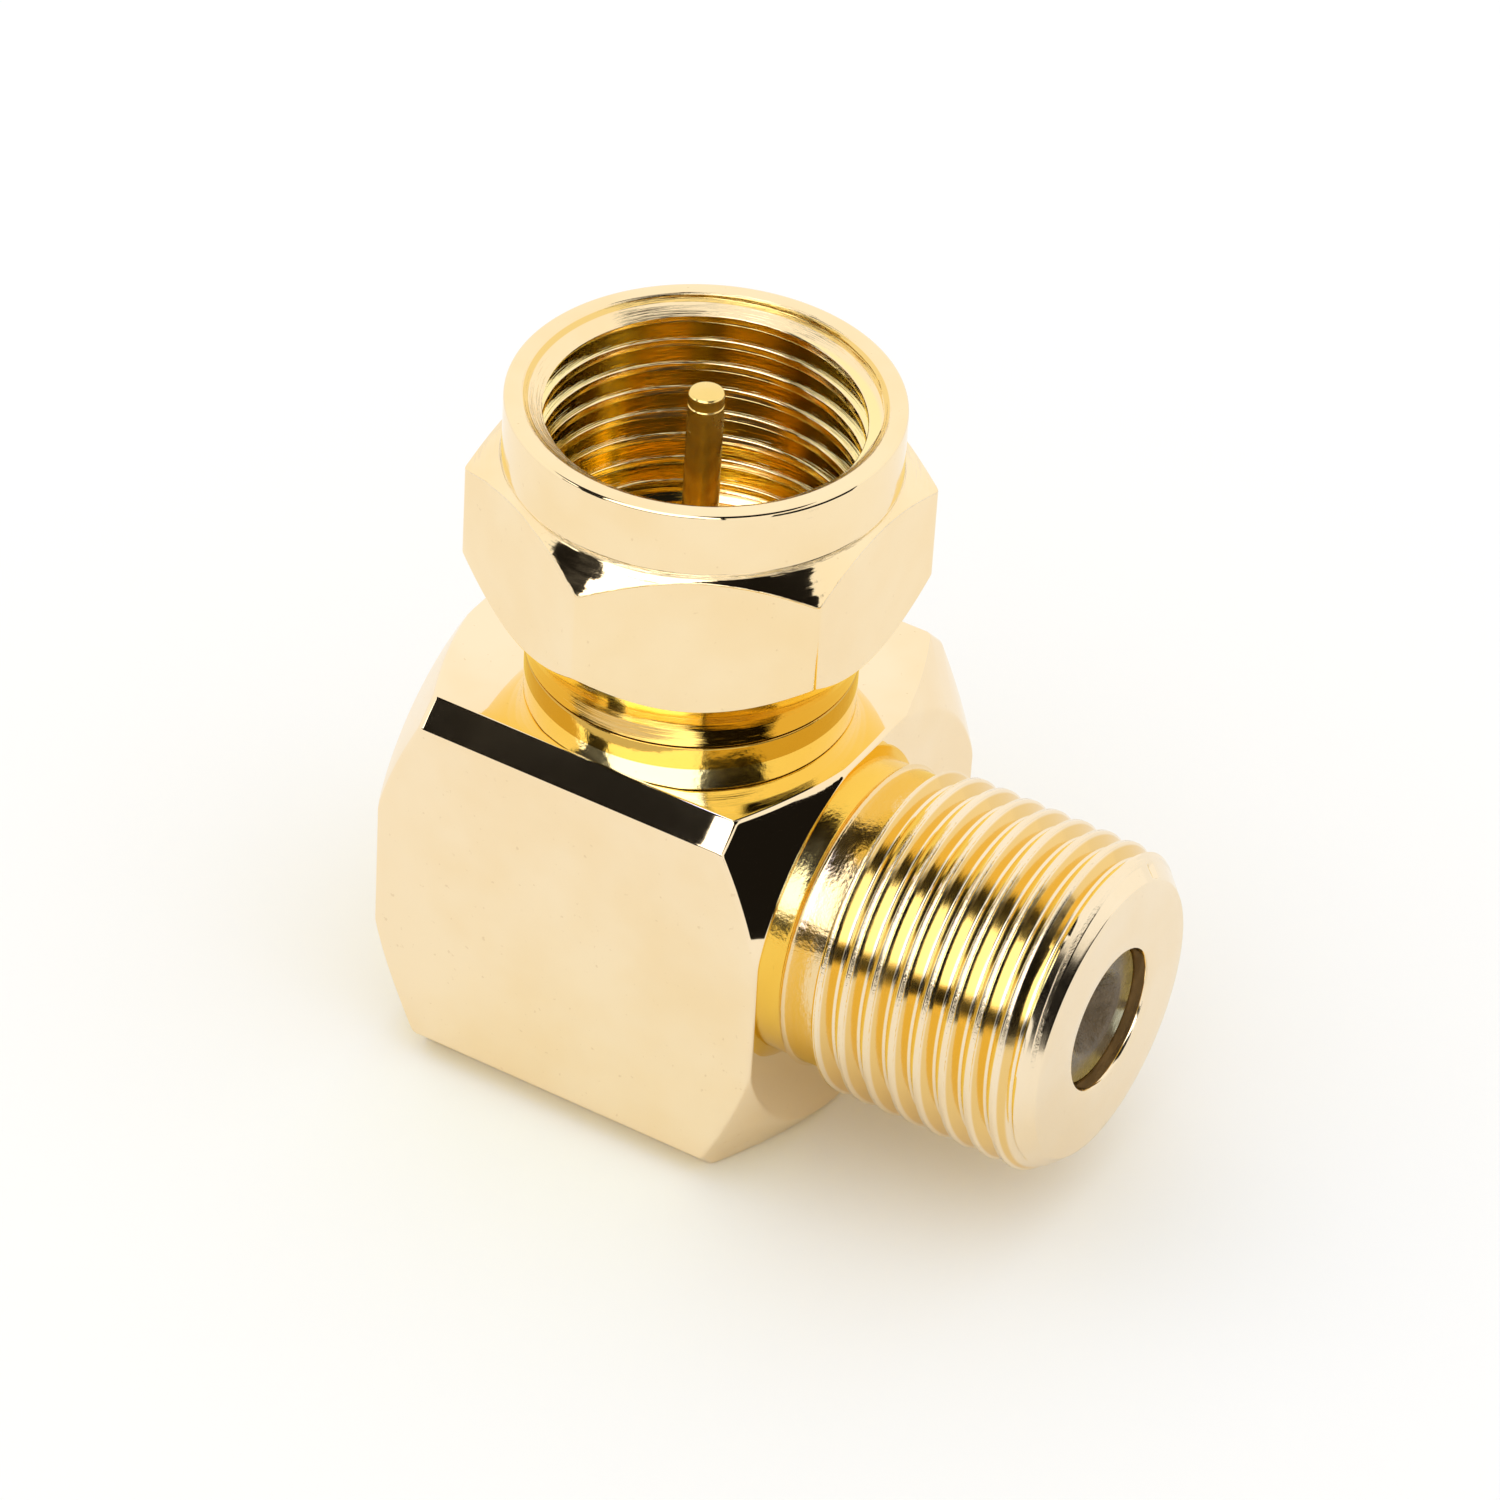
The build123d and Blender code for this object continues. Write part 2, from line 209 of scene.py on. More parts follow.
# ---------------------------------------------------------------- shader helpers
class Net:
    """Short ways to add nodes to one tree; any value may be a number or an output socket."""

    def __init__(self, tree):
        tree.nodes.clear()
        self.tree = tree

    def node(self, kind, **props):
        node = self.tree.nodes.new(kind)
        for key, value in props.items():
            setattr(node, key, value)
        return node

    def put(self, socket, value):
        if hasattr(value, "is_output"):
            self.tree.links.new(value, socket)
        else:
            socket.default_value = value

    def math(self, operation, a, b=0.0):
        node = self.node("ShaderNodeMath", operation=operation)
        self.put(node.inputs[0], a)
        self.put(node.inputs[1], b)
        return node.outputs[0]

    def add(self, a, b):
        return self.math("ADD", a, b)

    def mul(self, a, b):
        return self.math("MULTIPLY", a, b)

    def noise(self, vector, scale, detail=2.0, rough=0.5, w=None, distortion=0.0):
        """Noise per metre of vector; w adds a fourth coordinate."""
        dimensions = "4D" if w is not None else "3D"
        node = self.node("ShaderNodeTexNoise", noise_dimensions=dimensions)
        self.put(node.inputs["Vector"], vector)
        self.put(node.inputs["Scale"], scale)
        self.put(node.inputs["Detail"], detail)
        self.put(node.inputs["Roughness"], rough)
        self.put(node.inputs["Distortion"], distortion)
        if w is not None:
            self.put(node.inputs["W"], w)
        return node.outputs["Fac"]

    def ramp(self, value, lo, hi, start=0.0, end=1.0):
        """Smooth step from start at lo to end at hi."""
        node = self.node("ShaderNodeMapRange", interpolation_type="SMOOTHSTEP")
        self.put(node.inputs["Value"], value)
        self.put(node.inputs["From Min"], lo)
        self.put(node.inputs["From Max"], hi)
        self.put(node.inputs["To Min"], start)
        self.put(node.inputs["To Max"], end)
        return node.outputs["Result"]

    def ramp_mm(self, value, lo, hi, start=0.0, end=1.0):
        return self.ramp(value, lo * MM, hi * MM, start, end)

    def band(self, value, edges, unit=MM, peak=1.0):
        """Rises over the first two edges and falls over the last two."""
        rise_lo, rise_hi, fall_lo, fall_hi = (edge * unit for edge in edges)
        return self.mul(self.ramp(value, rise_lo, rise_hi, end=peak),
                        self.ramp(value, fall_lo, fall_hi, start=1.0, end=0.0))

    def mix(self, factor, a, b):
        node = self.node("ShaderNodeMix", data_type="RGBA")
        self.put(node.inputs["Factor"], factor)
        self.put(node.inputs[6], a)
        self.put(node.inputs[7], b)
        return node.outputs[2]

    def coords(self):
        return self.node("ShaderNodeTexCoord").outputs["Object"]

    def split(self, vector):
        node = self.node("ShaderNodeSeparateXYZ")
        self.put(node.inputs[0], vector)
        return node.outputs[0], node.outputs[1], node.outputs[2]

    def polar(self, axis):
        """Two coordinates across the Z or jack axis, the radius, and the place along it."""
        x, y, z = self.split(self.coords())
        if axis == "z":
            u, v, along = x, y, z
        else:
            u, v, along = y, self.math("SUBTRACT", z, AXIS_HEIGHT * MM), x
        radius = self.math("SQRT", self.add(self.mul(u, u), self.mul(v, v)))
        return u, v, radius, along

    def unit_circle(self, u, v, radius):
        safe = self.math("MAXIMUM", radius, 1e-6)
        node = self.node("ShaderNodeCombineXYZ")
        self.put(node.inputs[0], self.math("DIVIDE", u, safe))
        self.put(node.inputs[1], self.math("DIVIDE", v, safe))
        self.put(node.inputs[2], self.mul(radius, 0.0))
        return node.outputs[0]

    def bump(self, height, shader):
        """Height is in metres."""
        node = self.node("ShaderNodeBump")
        self.put(node.inputs["Distance"], 1.0)
        self.put(node.inputs["Height"], height)
        self.put(shader.inputs["Normal"], node.outputs[0])


def new_material(name, shader_kind):
    material = bpy.data.materials.new(name)
    material.use_nodes = True
    net = Net(material.node_tree)
    output = net.node("ShaderNodeOutputMaterial")
    shader = net.node(shader_kind)
    net.put(output.inputs[0], shader.outputs[0])
    return material, net, shader


def scaled(color, factors):
    return tuple(c * k for c, k in zip(color, factors))


# ---------------------------------------------------------------- gold
REFLECTION_GOLD = (0.96, 0.71, 0.15)     # painted reflection: the plating's colour where it is seen in reflections, a deeper yellow
WARM = (0.985, 0.955, 0.90)        # factors on the base colour
PALE = (1.01, 1.02, 1.05)
STAIN = (0.72, 0.62, 0.5)


def gold_color(net, obj, base, recess_shading):
    """Slow drift of tone and small stains; painted shade and painted reflection (a darker, deeper
    yellow) in the recess zones; a deeper yellow painted reflection for rays not from the camera.
    """
    tone = net.ramp(net.noise(obj, scale=260.0, detail=3.0, rough=0.55), lo=0.3, hi=0.7)
    pale = tuple(min(1.0, c) for c in scaled(base, PALE))
    color = net.mix(tone, scaled(base, WARM) + (1,), pale + (1,))
    stains = net.ramp(net.noise(obj, scale=5200.0), lo=0.70, hi=0.78, end=0.35)
    color = net.mix(stains, color, scaled(base, STAIN) + (1,))
    # painted shade and painted reflection: each listed zone is mixed towards a darker, deeper
    # yellow tint
    for axis, radius_edges, along_edges, shade_tint, shade_amount in recess_shading:
        _, _, radius, along = net.polar(axis)
        zone = net.mul(net.band(radius, radius_edges, peak=shade_amount), net.band(along, along_edges))
        color = net.mix(zone, color, shade_tint + (1,))
    # painted reflection: rays that are not from the camera see the plating in a deeper yellow,
    # not in its own colour
    path = net.node("ShaderNodeLightPath")
    return net.mix(path.outputs["Is Camera Ray"], REFLECTION_GOLD + (1,), color)


def gold_material(name, base, rough, peel, peel_scale, grain=0.0, recess_shading=(), detail=None):
    """peel and grain are relief heights in metres; detail adds relief of one piece's own."""
    material, net, shader = new_material(name, "ShaderNodeBsdfPrincipled")
    shader.inputs["Metallic"].default_value = 1.0
    obj = net.coords()
    net.put(shader.inputs["Base Color"], gold_color(net, obj, base, recess_shading))

    # polish with faint smears
    smear = net.noise(obj, scale=420.0, detail=4.0, rough=0.65, distortion=0.6)
    fine = net.noise(obj, scale=2600.0, detail=3.0, rough=0.6)
    roughness = net.add(net.ramp(smear, lo=0.35, hi=0.75, end=rough * 0.8), rough)
    roughness = net.add(roughness, net.ramp(fine, lo=0.55, hi=0.8, end=rough * 0.5))

    # soft unevenness at two sizes, then grain
    height = net.mul(net.noise(obj, scale=peel_scale, rough=0.45), peel)
    height = net.add(height, net.mul(net.noise(obj, scale=peel_scale * 5.0), peel * 0.10))
    if grain:
        height = net.add(height, net.mul(net.noise(obj, scale=14000.0, rough=0.6), grain))
    if detail:
        height, roughness = detail(net, obj, height, roughness)
    net.bump(height, shader)
    net.put(shader.inputs["Roughness"], roughness)
    return material


def turned_lines(net, axis, depth, scale, arc):
    """Tool lines round the axis; a larger arc value breaks them into shorter arcs."""
    u, v, radius, along = net.polar(axis)
    circle = net.unit_circle(u, v, radius)
    travel = net.add(net.mul(along, scale), net.mul(radius, scale * 0.83))
    coarse = net.ramp(net.noise(circle, scale=arc, rough=0.6, w=travel), lo=0.35, hi=0.65)
    fine = net.noise(circle, scale=arc * 2.2, rough=0.6, w=net.mul(travel, 2.7))
    lines = net.add(net.mul(coarse, depth), net.mul(fine, depth * 0.5))
    return lines, radius, along


def jack_detail(net, obj, height, roughness):
    lines, _, _ = turned_lines(net, "x", depth=1.0e-6, scale=7000.0, arc=0.9)
    height = net.add(height, lines)

    # rougher neck between the flange and the thread
    along = net.split(net.coords())[0]
    neck = net.band(along, (5.80, 5.95, 6.90, 7.00))
    roughness = net.add(roughness, net.mul(neck, 0.02))
    relief = net.noise(obj, scale=6500.0, detail=3.0, rough=0.6)
    height = net.add(height, net.mul(net.mul(relief, 9e-6), neck))

    # torn metal on one edge of each crest: a band of thread phase that follows the helix
    x, y, z = net.split(obj)
    turns = net.math("DIVIDE", net.math("SUBTRACT", net.math("DIVIDE", x, MM), JACK_THREAD_X),
                     PITCH)
    angle = net.math("ARCTAN2", net.math("SUBTRACT", z, AXIS_HEIGHT * MM), y)
    turned = net.math("SUBTRACT", net.math("DIVIDE", angle, TURN), 0.25)
    turns = net.math("SUBTRACT", turns, turned)
    phase = net.math("FRACT", net.add(turns, 20.0))
    torn = net.band(phase, (0.46, 0.50, 0.60, 0.64), unit=1.0)
    torn = net.mul(torn, net.ramp_mm(x, lo=7.0, hi=7.1))
    relief = net.noise(obj, scale=9000.0, detail=3.0, rough=0.65)
    height = net.add(height, net.mul(net.mul(relief, 1.1e-5), torn))
    roughness = net.add(roughness, net.mul(torn, 0.04))
    return height, roughness


NUT_ROUGH = 0.04


def nut_detail(net, obj, height, roughness):
    """Tool lines, strong on the turned shoulder, faint elsewhere and not on the flats."""
    lines, radius, along = turned_lines(net, "z", depth=2.2e-5, scale=9000.0, arc=2.0)
    zone = net.band(along, (18.2, 18.35, 19.26, 19.34))
    cone = net.add(along, net.mul(radius, SHOULDER_SLOPE))
    zone = net.mul(zone, net.ramp_mm(cone, lo=23.17, hi=23.20))
    zone = net.mul(zone, net.ramp_mm(radius, lo=5.0, hi=5.1))
    zone = net.math("MAXIMUM", zone, 0.02)
    inside = net.ramp_mm(radius, lo=4.92, hi=5.0, start=0.07, end=0.0)
    zone = net.math("MAXIMUM", zone, inside)
    mouth = net.mul(net.ramp_mm(along, lo=20.74, hi=20.80, end=0.22),
                    net.ramp_mm(radius, lo=4.95, hi=5.05, start=1.0, end=0.0))
    zone = net.math("MAXIMUM", zone, mouth)
    roughness = net.add(roughness, net.mul(zone, NUT_ROUGH * 0.6))
    return net.add(height, net.mul(lines, zone)), roughness


# Painted shade and painted reflection, a darker, deeper yellow in thread grooves, bores and
# necks: axis, radius edges, edges along the axis, tint, amount.
JACK_RECESS_SHADING = (
    ("x", (4.385, 4.40, 4.64, 4.70), (7.05, 7.12, 13.04, 13.10), (0.82, 0.55, 0.19), 0.95),
    ("x", (1.0, 1.1, 4.42, 4.55), (5.70, 5.80, 7.00, 7.06), (0.84, 0.58, 0.22), 0.6),
)
# painted shade and painted reflection in the nut's threaded bore, its mouth and its foot under
# the hexagon
NUT_RECESS_SHADING = (
    ("z", (4.38, 4.42, 4.95, 5.0), (13.9, 14.0, 20.74, 20.80), (0.95, 0.80, 0.36), 0.8),
    ("z", (4.75, 4.78, 4.95, 5.0), (20.74, 20.80, 21.14, 21.16), (0.85, 0.58, 0.18), 0.9),
    ("z", (1.0, 1.1, 5.0, 5.3), (12.0, 12.1, 14.15, 14.35), (0.72, 0.46, 0.13), 0.85),
)


# ---------------------------------------------------------------- plastic and plain metal
def plain_metal(name, base, rough, relief, relief_scale):
    """relief is a height in metres."""
    material, net, shader = new_material(name, "ShaderNodeBsdfPrincipled")
    shader.inputs["Metallic"].default_value = 1.0
    obj = net.coords()
    mottle = net.ramp(net.noise(obj, scale=1500.0, detail=3.0, rough=0.6), lo=0.3, hi=0.7)
    dark = scaled(base, (0.82,) * 3)
    net.put(shader.inputs["Base Color"], net.mix(mottle, dark + (1,), base + (1,)))
    polish = net.noise(obj, scale=2500.0, detail=3.0, rough=0.6)
    net.put(shader.inputs["Roughness"],
            net.ramp(polish, lo=0.2, hi=0.8, start=rough * 0.7, end=rough * 1.5))
    grain = net.noise(obj, scale=relief_scale, detail=3.0, rough=0.6)
    net.bump(net.mul(grain, relief), shader)
    return material


def plastic_material(name, base, dark):
    material, net, shader = new_material(name, "ShaderNodeBsdfPrincipled")
    obj = net.coords()
    mottle = net.ramp(net.noise(obj, scale=1100.0, detail=4.0, rough=0.6), lo=0.3, hi=0.72)
    net.put(shader.inputs["Base Color"], net.mix(mottle, dark + (1,), base + (1,)))
    polish = net.noise(obj, scale=3000.0, detail=3.0, rough=0.6)
    net.put(shader.inputs["Roughness"], net.ramp(polish, lo=0.2, hi=0.8, start=0.20, end=0.36))
    net.put(shader.inputs["IOR"], 1.5)
    path = net.node("ShaderNodeLightPath")
    net.put(shader.inputs["Specular IOR Level"], net.mul(path.outputs["Is Camera Ray"], 0.3))
    net.put(shader.inputs["Subsurface Weight"], 0.12)
    net.put(shader.inputs["Subsurface Scale"], 0.0004)
    net.put(shader.inputs["Subsurface Radius"], (1.0, 0.7, 0.4))

    # faint turned rings and a fine grain
    u, v, radius, along = net.polar("x")
    circle = net.unit_circle(u, v, radius)
    rings = net.mul(net.noise(circle, scale=1.2, w=net.mul(radius, 8000.0)), 1.5e-6)
    grain = net.noise(obj, scale=5000.0, detail=3.0, rough=0.6)
    height = net.add(rings, net.mul(grain, 2.5e-6))
    # the entry cone of the jack insulator is torn and rough
    cone = net.mul(net.ramp_mm(radius, lo=1.15, hi=1.30, start=1.0, end=0.0),
                   net.ramp_mm(along, lo=12.0, hi=12.2))
    torn = net.noise(obj, scale=3800.0, detail=3.0, rough=0.65)
    height = net.add(height, net.mul(net.mul(torn, 9e-5), cone))
    net.bump(height, shader)
    return material


MAT_BODY = gold_material("gold_body", base=(0.93, 0.755, 0.50), rough=0.03,
                         peel=1.3e-6, peel_scale=420.0)
MAT_JACK = gold_material("gold_jack", base=(0.90, 0.745, 0.515), rough=0.10, peel=3.0e-6,
                         peel_scale=1400.0, grain=0.25e-6, recess_shading=JACK_RECESS_SHADING, detail=jack_detail)
MAT_NUT = gold_material("gold_nut", base=(0.935, 0.745, 0.455), rough=NUT_ROUGH, peel=1.0e-6,
                        peel_scale=500.0, recess_shading=NUT_RECESS_SHADING, detail=nut_detail)
# painted shade: the post, under and inside the nut, gets a darker, deeper gold than the rest of
# the plating
MAT_POST_SHADED = gold_material("gold_post_shaded", base=(0.62, 0.385, 0.08), rough=0.10,
                          peel=7e-6, peel_scale=4200.0, grain=0.5e-6)
MAT_PIN = gold_material("gold_pin", base=(0.90, 0.66, 0.24), rough=0.16,
                        peel=3.0e-6, peel_scale=2600.0, grain=0.8e-6)
MAT_CLIP = plain_metal("spring_clip_steel", base=(0.62, 0.60, 0.55), rough=0.28,
                       relief=1.5e-6, relief_scale=4000.0)
MAT_SOLDER = plain_metal("solder_joint_tin", base=(0.70, 0.70, 0.68), rough=0.22,
                         relief=4e-6, relief_scale=1500.0)
MAT_PLASTIC = plastic_material("insulator", base=(0.17, 0.12, 0.066), dark=(0.10, 0.07, 0.036))

# ---------------------------------------------------------------- elbow block
ELBOW_HALF_WIDTH = 5.85
ELBOW_TOP, ELBOW_BOTTOM = 6.03, -AXIS_HEIGHT     # from the jack axis
ELBOW_CHAMFER = 0.70
ELBOW_EDGE_FILLET = 0.15
ELBOW_REAR_X = -6.39
END_CONE_R = 6.10              # where the turned end cone meets the end plane
END_CONE_SLOPE = 0.73
CAVITY_R = 2.50


def elbow_outline():
    """Rounded chamfered rectangle, points (y, z) about the jack axis, anticlockwise."""
    wide, narrow = ELBOW_HALF_WIDTH, ELBOW_HALF_WIDTH - ELBOW_CHAMFER
    high, low = ELBOW_TOP - ELBOW_CHAMFER, ELBOW_BOTTOM + ELBOW_CHAMFER
    corners = np.array([
        (wide, low), (wide, high), (narrow, ELBOW_TOP), (-narrow, ELBOW_TOP),
        (-wide, high), (-wide, low), (-narrow, ELBOW_BOTTOM), (narrow, ELBOW_BOTTOM)])
    points = fillet_rows(corners[:, None, :], [ELBOW_EDGE_FILLET] * 8, steps=5,
                         closed=True)[:, 0, :]
    outline = []
    for i, start in enumerate(points):
        end = points[(i + 1) % len(points)]
        parts = max(1, int(round(np.linalg.norm(end - start) / 0.30)))
        outline += [start + (end - start) * s / parts for s in range(parts)]
    outline.append(outline[0])
    return np.array(outline)


def elbow_end_rows(end_x, inward, reach, steps=6):
    """Rounded (x, radius) rows from an end plane over the turned cone to the side.

    inward is the sign of x into the block; reach is the outline radius per column.
    """
    plane_normal = np.array([-inward, 0.0])
    cone_normal = np.array([-inward, END_CONE_SLOPE]) / math.hypot(1.0, END_CONE_SLOPE)
    side_normal = np.array([0.0, 1.0])
    fillet = 0.14 + 0.13 * np.clip((reach - 6.2) / 1.2, 0, 1)
    # plane, side and cone, all moved in by the fillet radius
    plane_x = end_x + inward * fillet
    side_r = reach - fillet
    cone = cone_normal @ np.array([end_x, END_CONE_R]) - fillet
    plane_cone_r = (cone - cone_normal[0] * plane_x) / cone_normal[1]
    cone_side_x = (cone - cone_normal[1] * side_r) / cone_normal[0]
    has_cone = side_r > plane_cone_r
    arcs = (
        (plane_normal, cone_normal,
         np.stack([plane_x, np.where(has_cone, plane_cone_r, side_r)], -1)),
        (cone_normal, side_normal,
         np.stack([np.where(has_cone, cone_side_x, plane_x), side_r], -1)),
    )
    rows = []
    for normal_from, normal_to, centre in arcs:
        start = math.atan2(normal_from[1], normal_from[0])
        end = math.atan2(normal_to[1], normal_to[0])
        for j in range(steps + 1):
            angle = start + (end - start) * j / steps
            rows.append(centre + fillet[:, None] * np.array([math.cos(angle), math.sin(angle)]))
    return np.stack(rows)


def build_elbow():
    outline = elbow_outline()
    angles = np.arctan2(outline[:, 1], outline[:, 0])
    reach = np.hypot(outline[:, 0], outline[:, 1])
    rear = elbow_end_rows(ELBOW_REAR_X, 1.0, reach)
    front = elbow_end_rows(ELBOW_FRONT_X, -1.0, reach)[::-1]

    def row(x, radius):
        return profile_row(len(reach), x, radius)

    def between(start, end, steps):
        return [start * (1 - s) + end * s for s in steps]

    rear_lip = row(ELBOW_REAR_X, PLUG_R + 0.05)
    front_lip = row(ELBOW_FRONT_X, JACK_SHANK_R)
    rows = [row(ELBOW_REAR_X + 0.05, PLUG_R), row(ELBOW_REAR_X + 0.015, 2.815), rear_lip]
    rows += between(rear_lip, rear[0], (0.25, 0.5, 0.75))
    rows += list(rear)
    rows += between(rear[-1], front[0], np.linspace(0, 1, 14)[1:-1])
    rows += list(front)
    rows += between(front[-1], front_lip, (0.3, 0.65))
    rows += [front_lip, row(3.10, JACK_SHANK_R), row(3.10, CAVITY_R),
             row(PLUG_SEAT_X, CAVITY_R), row(PLUG_SEAT_X, PLUG_R)]
    elbow = grid_object("elbow_body_visual", around_x(np.stack(rows), angles[None, :]), True)

    # stepped bore for the post, cut down from the top
    step_z, top_z = AXIS_HEIGHT + 2.60, 13.2
    cutter = lathe("cutter", [
        (0, AXIS_HEIGHT - 0.4, 0), (POST_BORE_R, AXIS_HEIGHT - 0.4, 0),
        (POST_BORE_R, step_z, 0), (POST_R, step_z, 0), (POST_R, top_z, 0), (0, top_z, 0),
    ], "z", segments=128, closed=False)
    bore = elbow.modifiers.new("bore", "BOOLEAN")
    bore.operation = "DIFFERENCE"
    bore.solver = "EXACT"
    bore.object = cutter
    depsgraph = bpy.context.evaluated_depsgraph_get()
    cut_mesh = bpy.data.meshes.new_from_object(elbow.evaluated_get(depsgraph))
    elbow.modifiers.clear()
    elbow.data = cut_mesh
    bpy.data.objects.remove(cutter)
    finish_piece(elbow, "body", "elbow_body", MAT_BODY)


# ---------------------------------------------------------------- jack barrel
JACK_SEGMENTS = 320
JACK_END_X = 13.77
JACK_THREAD_START_X = 6.94
JACK_NECK_R, JACK_FLANGE_R = 4.34, 4.47
JACK_CREST_R, JACK_ROOT_R = 4.74, 4.37
FLANGE_FILLET = 0.13
JACK_MOUTH_R, JACK_BORE_R = 2.07, 3.05
# largest thread radius along the barrel: start ramp, full thread, end chamfer
JACK_ENVELOPE_X = [6.94, 6.955, 7.045, 7.06, 13.09, 13.12, 13.75]
JACK_ENVELOPE_R = [4.34, 4.40, 4.69, 4.74, 4.74, 4.72, 4.09]
NICK_DEG, NICK_WIDTH, NICK_DEPTH = 60.0, 0.028, 0.14     # width in radians


def build_jack():
    angles = np.linspace(0, TURN, JACK_SEGMENTS + 1)

    def row(x, radius):
        return profile_row(len(angles), x, radius)

    groove = groove_profile(PITCH - 0.15, 0.09, JACK_CREST_R, JACK_ROOT_R, rim_fillet=0.04)
    extra = np.array([6.97, 7.00, 7.03, 7.06, 13.08, 13.10, 13.12,
                      *np.linspace(13.16, 13.70, 10)])
    x, radius = helix_rows(groove, JACK_THREAD_X + PITCH * (angles / TURN - 0.25),
                           JACK_THREAD_START_X, JACK_END_X - 0.02, (-3, 12), extra)
    radius = np.minimum(radius, np.interp(x, JACK_ENVELOPE_X, JACK_ENVELOPE_R))
    # nick where the thread starts on the chamfer
    across = np.exp(-(((angles[None, :] - math.radians(NICK_DEG)) / NICK_WIDTH) ** 2))
    radius -= (NICK_DEPTH * across * np.clip((x - 13.36) / 0.05, 0, 1)
               * np.clip((13.72 - x) / 0.04, 0, 1))

    lead = [row(3.12, JACK_BORE_R), row(3.12, 3.28), row(3.24, JACK_SHANK_R),
            row(ELBOW_FRONT_X, JACK_SHANK_R), row(ELBOW_FRONT_X, JACK_FLANGE_R)]
    for turn in np.radians(np.linspace(0, 90, 6)[1:]):
        lead.append(row(ELBOW_FRONT_X + FLANGE_FILLET - FLANGE_FILLET * math.cos(turn),
                        JACK_FLANGE_R - FLANGE_FILLET * math.sin(turn)))
    lead += [row(place, JACK_NECK_R) for place in (6.30, 6.60, 6.90)]
    tail = [row(13.765, 4.073)]
    tail += [row(JACK_END_X, r) for r in (4.05, 3.6, 3.1, 2.6, 2.15)]
    tail += [row(13.755, 2.10), row(13.71, 2.075), row(13.66, JACK_MOUTH_R),
             row(12.40, JACK_MOUTH_R), row(12.40, JACK_BORE_R), row(8.0, JACK_BORE_R)]
    profile = np.concatenate([np.stack(lead), np.stack([x, radius], -1), np.stack(tail)])
    jack = grid_object("jack_barrel_visual", around_x(profile, angles[None, :]), True)
    finish_piece(jack, "body", "jack_barrel", MAT_JACK, sharp_deg=40)


# ---------------------------------------------------------------- coupling nut
HEX_FLAT_R = 11.11 / 2         # centre to flat
HEX_CORNER_R = 0.22            # rounding of the six corners
HEX_TURN = math.radians(30.84)
NUT_BOTTOM_Z, HEX_BOTTOM_Z, RIM_Z = 12.92, 14.83, 21.19
COLLAR_R, COLLAR_FILLET, COLLAR_BASE_Z = 5.43, 0.22, 19.311
MOUTH_R, LIP_R = 4.97, 3.45
NUT_CREST_R, NUT_ROOT_R = 4.37, 4.90
NUT_THREAD_BOTTOM_Z = 14.34
RING_Z = (13.25, 13.75)        # retaining ring
RING_GROOVE_R, RING_GROOVE_Z = 4.05, (13.23, 13.77)


def hex_columns():
    """Angles and outline radii of a hexagon with rounded corners."""
    centre_r = (HEX_FLAT_R - HEX_CORNER_R) / math.cos(math.radians(30))
    half = math.atan2(HEX_CORNER_R * math.sin(math.radians(30)),
                      centre_r + HEX_CORNER_R * math.cos(math.radians(30)))
    angles, radii = [], []
    for k in range(6):
        corner = HEX_TURN + k * math.pi / 3
        for turn in np.linspace(-half, half, 9):
            angles.append(corner + turn)
            depth = max(0.0, HEX_CORNER_R**2 - (centre_r * math.sin(turn)) ** 2)
            radii.append(centre_r * math.cos(turn) + math.sqrt(depth))
        for turn in np.linspace(half, math.pi / 3 - half, 42)[1:-1]:
            angles.append(corner + turn)
            radii.append(HEX_FLAT_R / math.cos(turn - math.pi / 6))
    angles.append(angles[0] + TURN)
    radii.append(radii[0])
    return np.array(angles), np.array(radii)


def shoulder_z(radius):
    """Top of the hexagon: a cone, then a concave arc up to the collar."""
    radius = np.asarray(radius, float)
    arc = COLLAR_BASE_Z - np.sqrt(np.maximum(
        0.0, COLLAR_FILLET**2 - (COLLAR_R + COLLAR_FILLET - radius) ** 2))
    cone = 19.20 - SHOULDER_SLOPE * (radius - COLLAR_R)
    return np.where(radius >= COLLAR_R + 0.0892, cone, arc)


def nut_outside(row, hex_r):
    # (radius, z) row, fillet radius
    corners = [
        (row(LIP_R, RING_GROOVE_Z[0]), 0),
        (row(LIP_R, NUT_BOTTOM_Z), 0.06),
        (row(4.60, NUT_BOTTOM_Z), 0.04),
        (row(4.62, NUT_BOTTOM_Z + 0.30), 0.30),
        (row(4.66, NUT_BOTTOM_Z + 0.60), 0.5),
        (row(4.77, NUT_BOTTOM_Z + 0.93), 0.6),
        (row(5.00, NUT_BOTTOM_Z + 1.29), 0.8),
        (row(hex_r, HEX_BOTTOM_Z + 1.10 * (hex_r - HEX_FLAT_R)), 0.06),
        (row(hex_r, shoulder_z(hex_r)), 0.05),
    ]
    for turn in np.radians([53.5, 46, 38, 30, 22, 15, 8]):
        arc_r = np.minimum(hex_r, COLLAR_R + COLLAR_FILLET - COLLAR_FILLET * math.cos(turn))
        corners.append((row(arc_r, shoulder_z(arc_r)), 0))
    corners += [
        (row(COLLAR_R, COLLAR_BASE_Z), 0),
        (row(COLLAR_R, RIM_Z), 0.13),
        (row(MOUTH_R, RIM_Z), 0.03),
        (row(MOUTH_R - 0.0615, RIM_Z - 0.04), 0),
    ]
    return fillet_rows(np.stack([c for c, _ in corners]), [r for _, r in corners], steps=5)


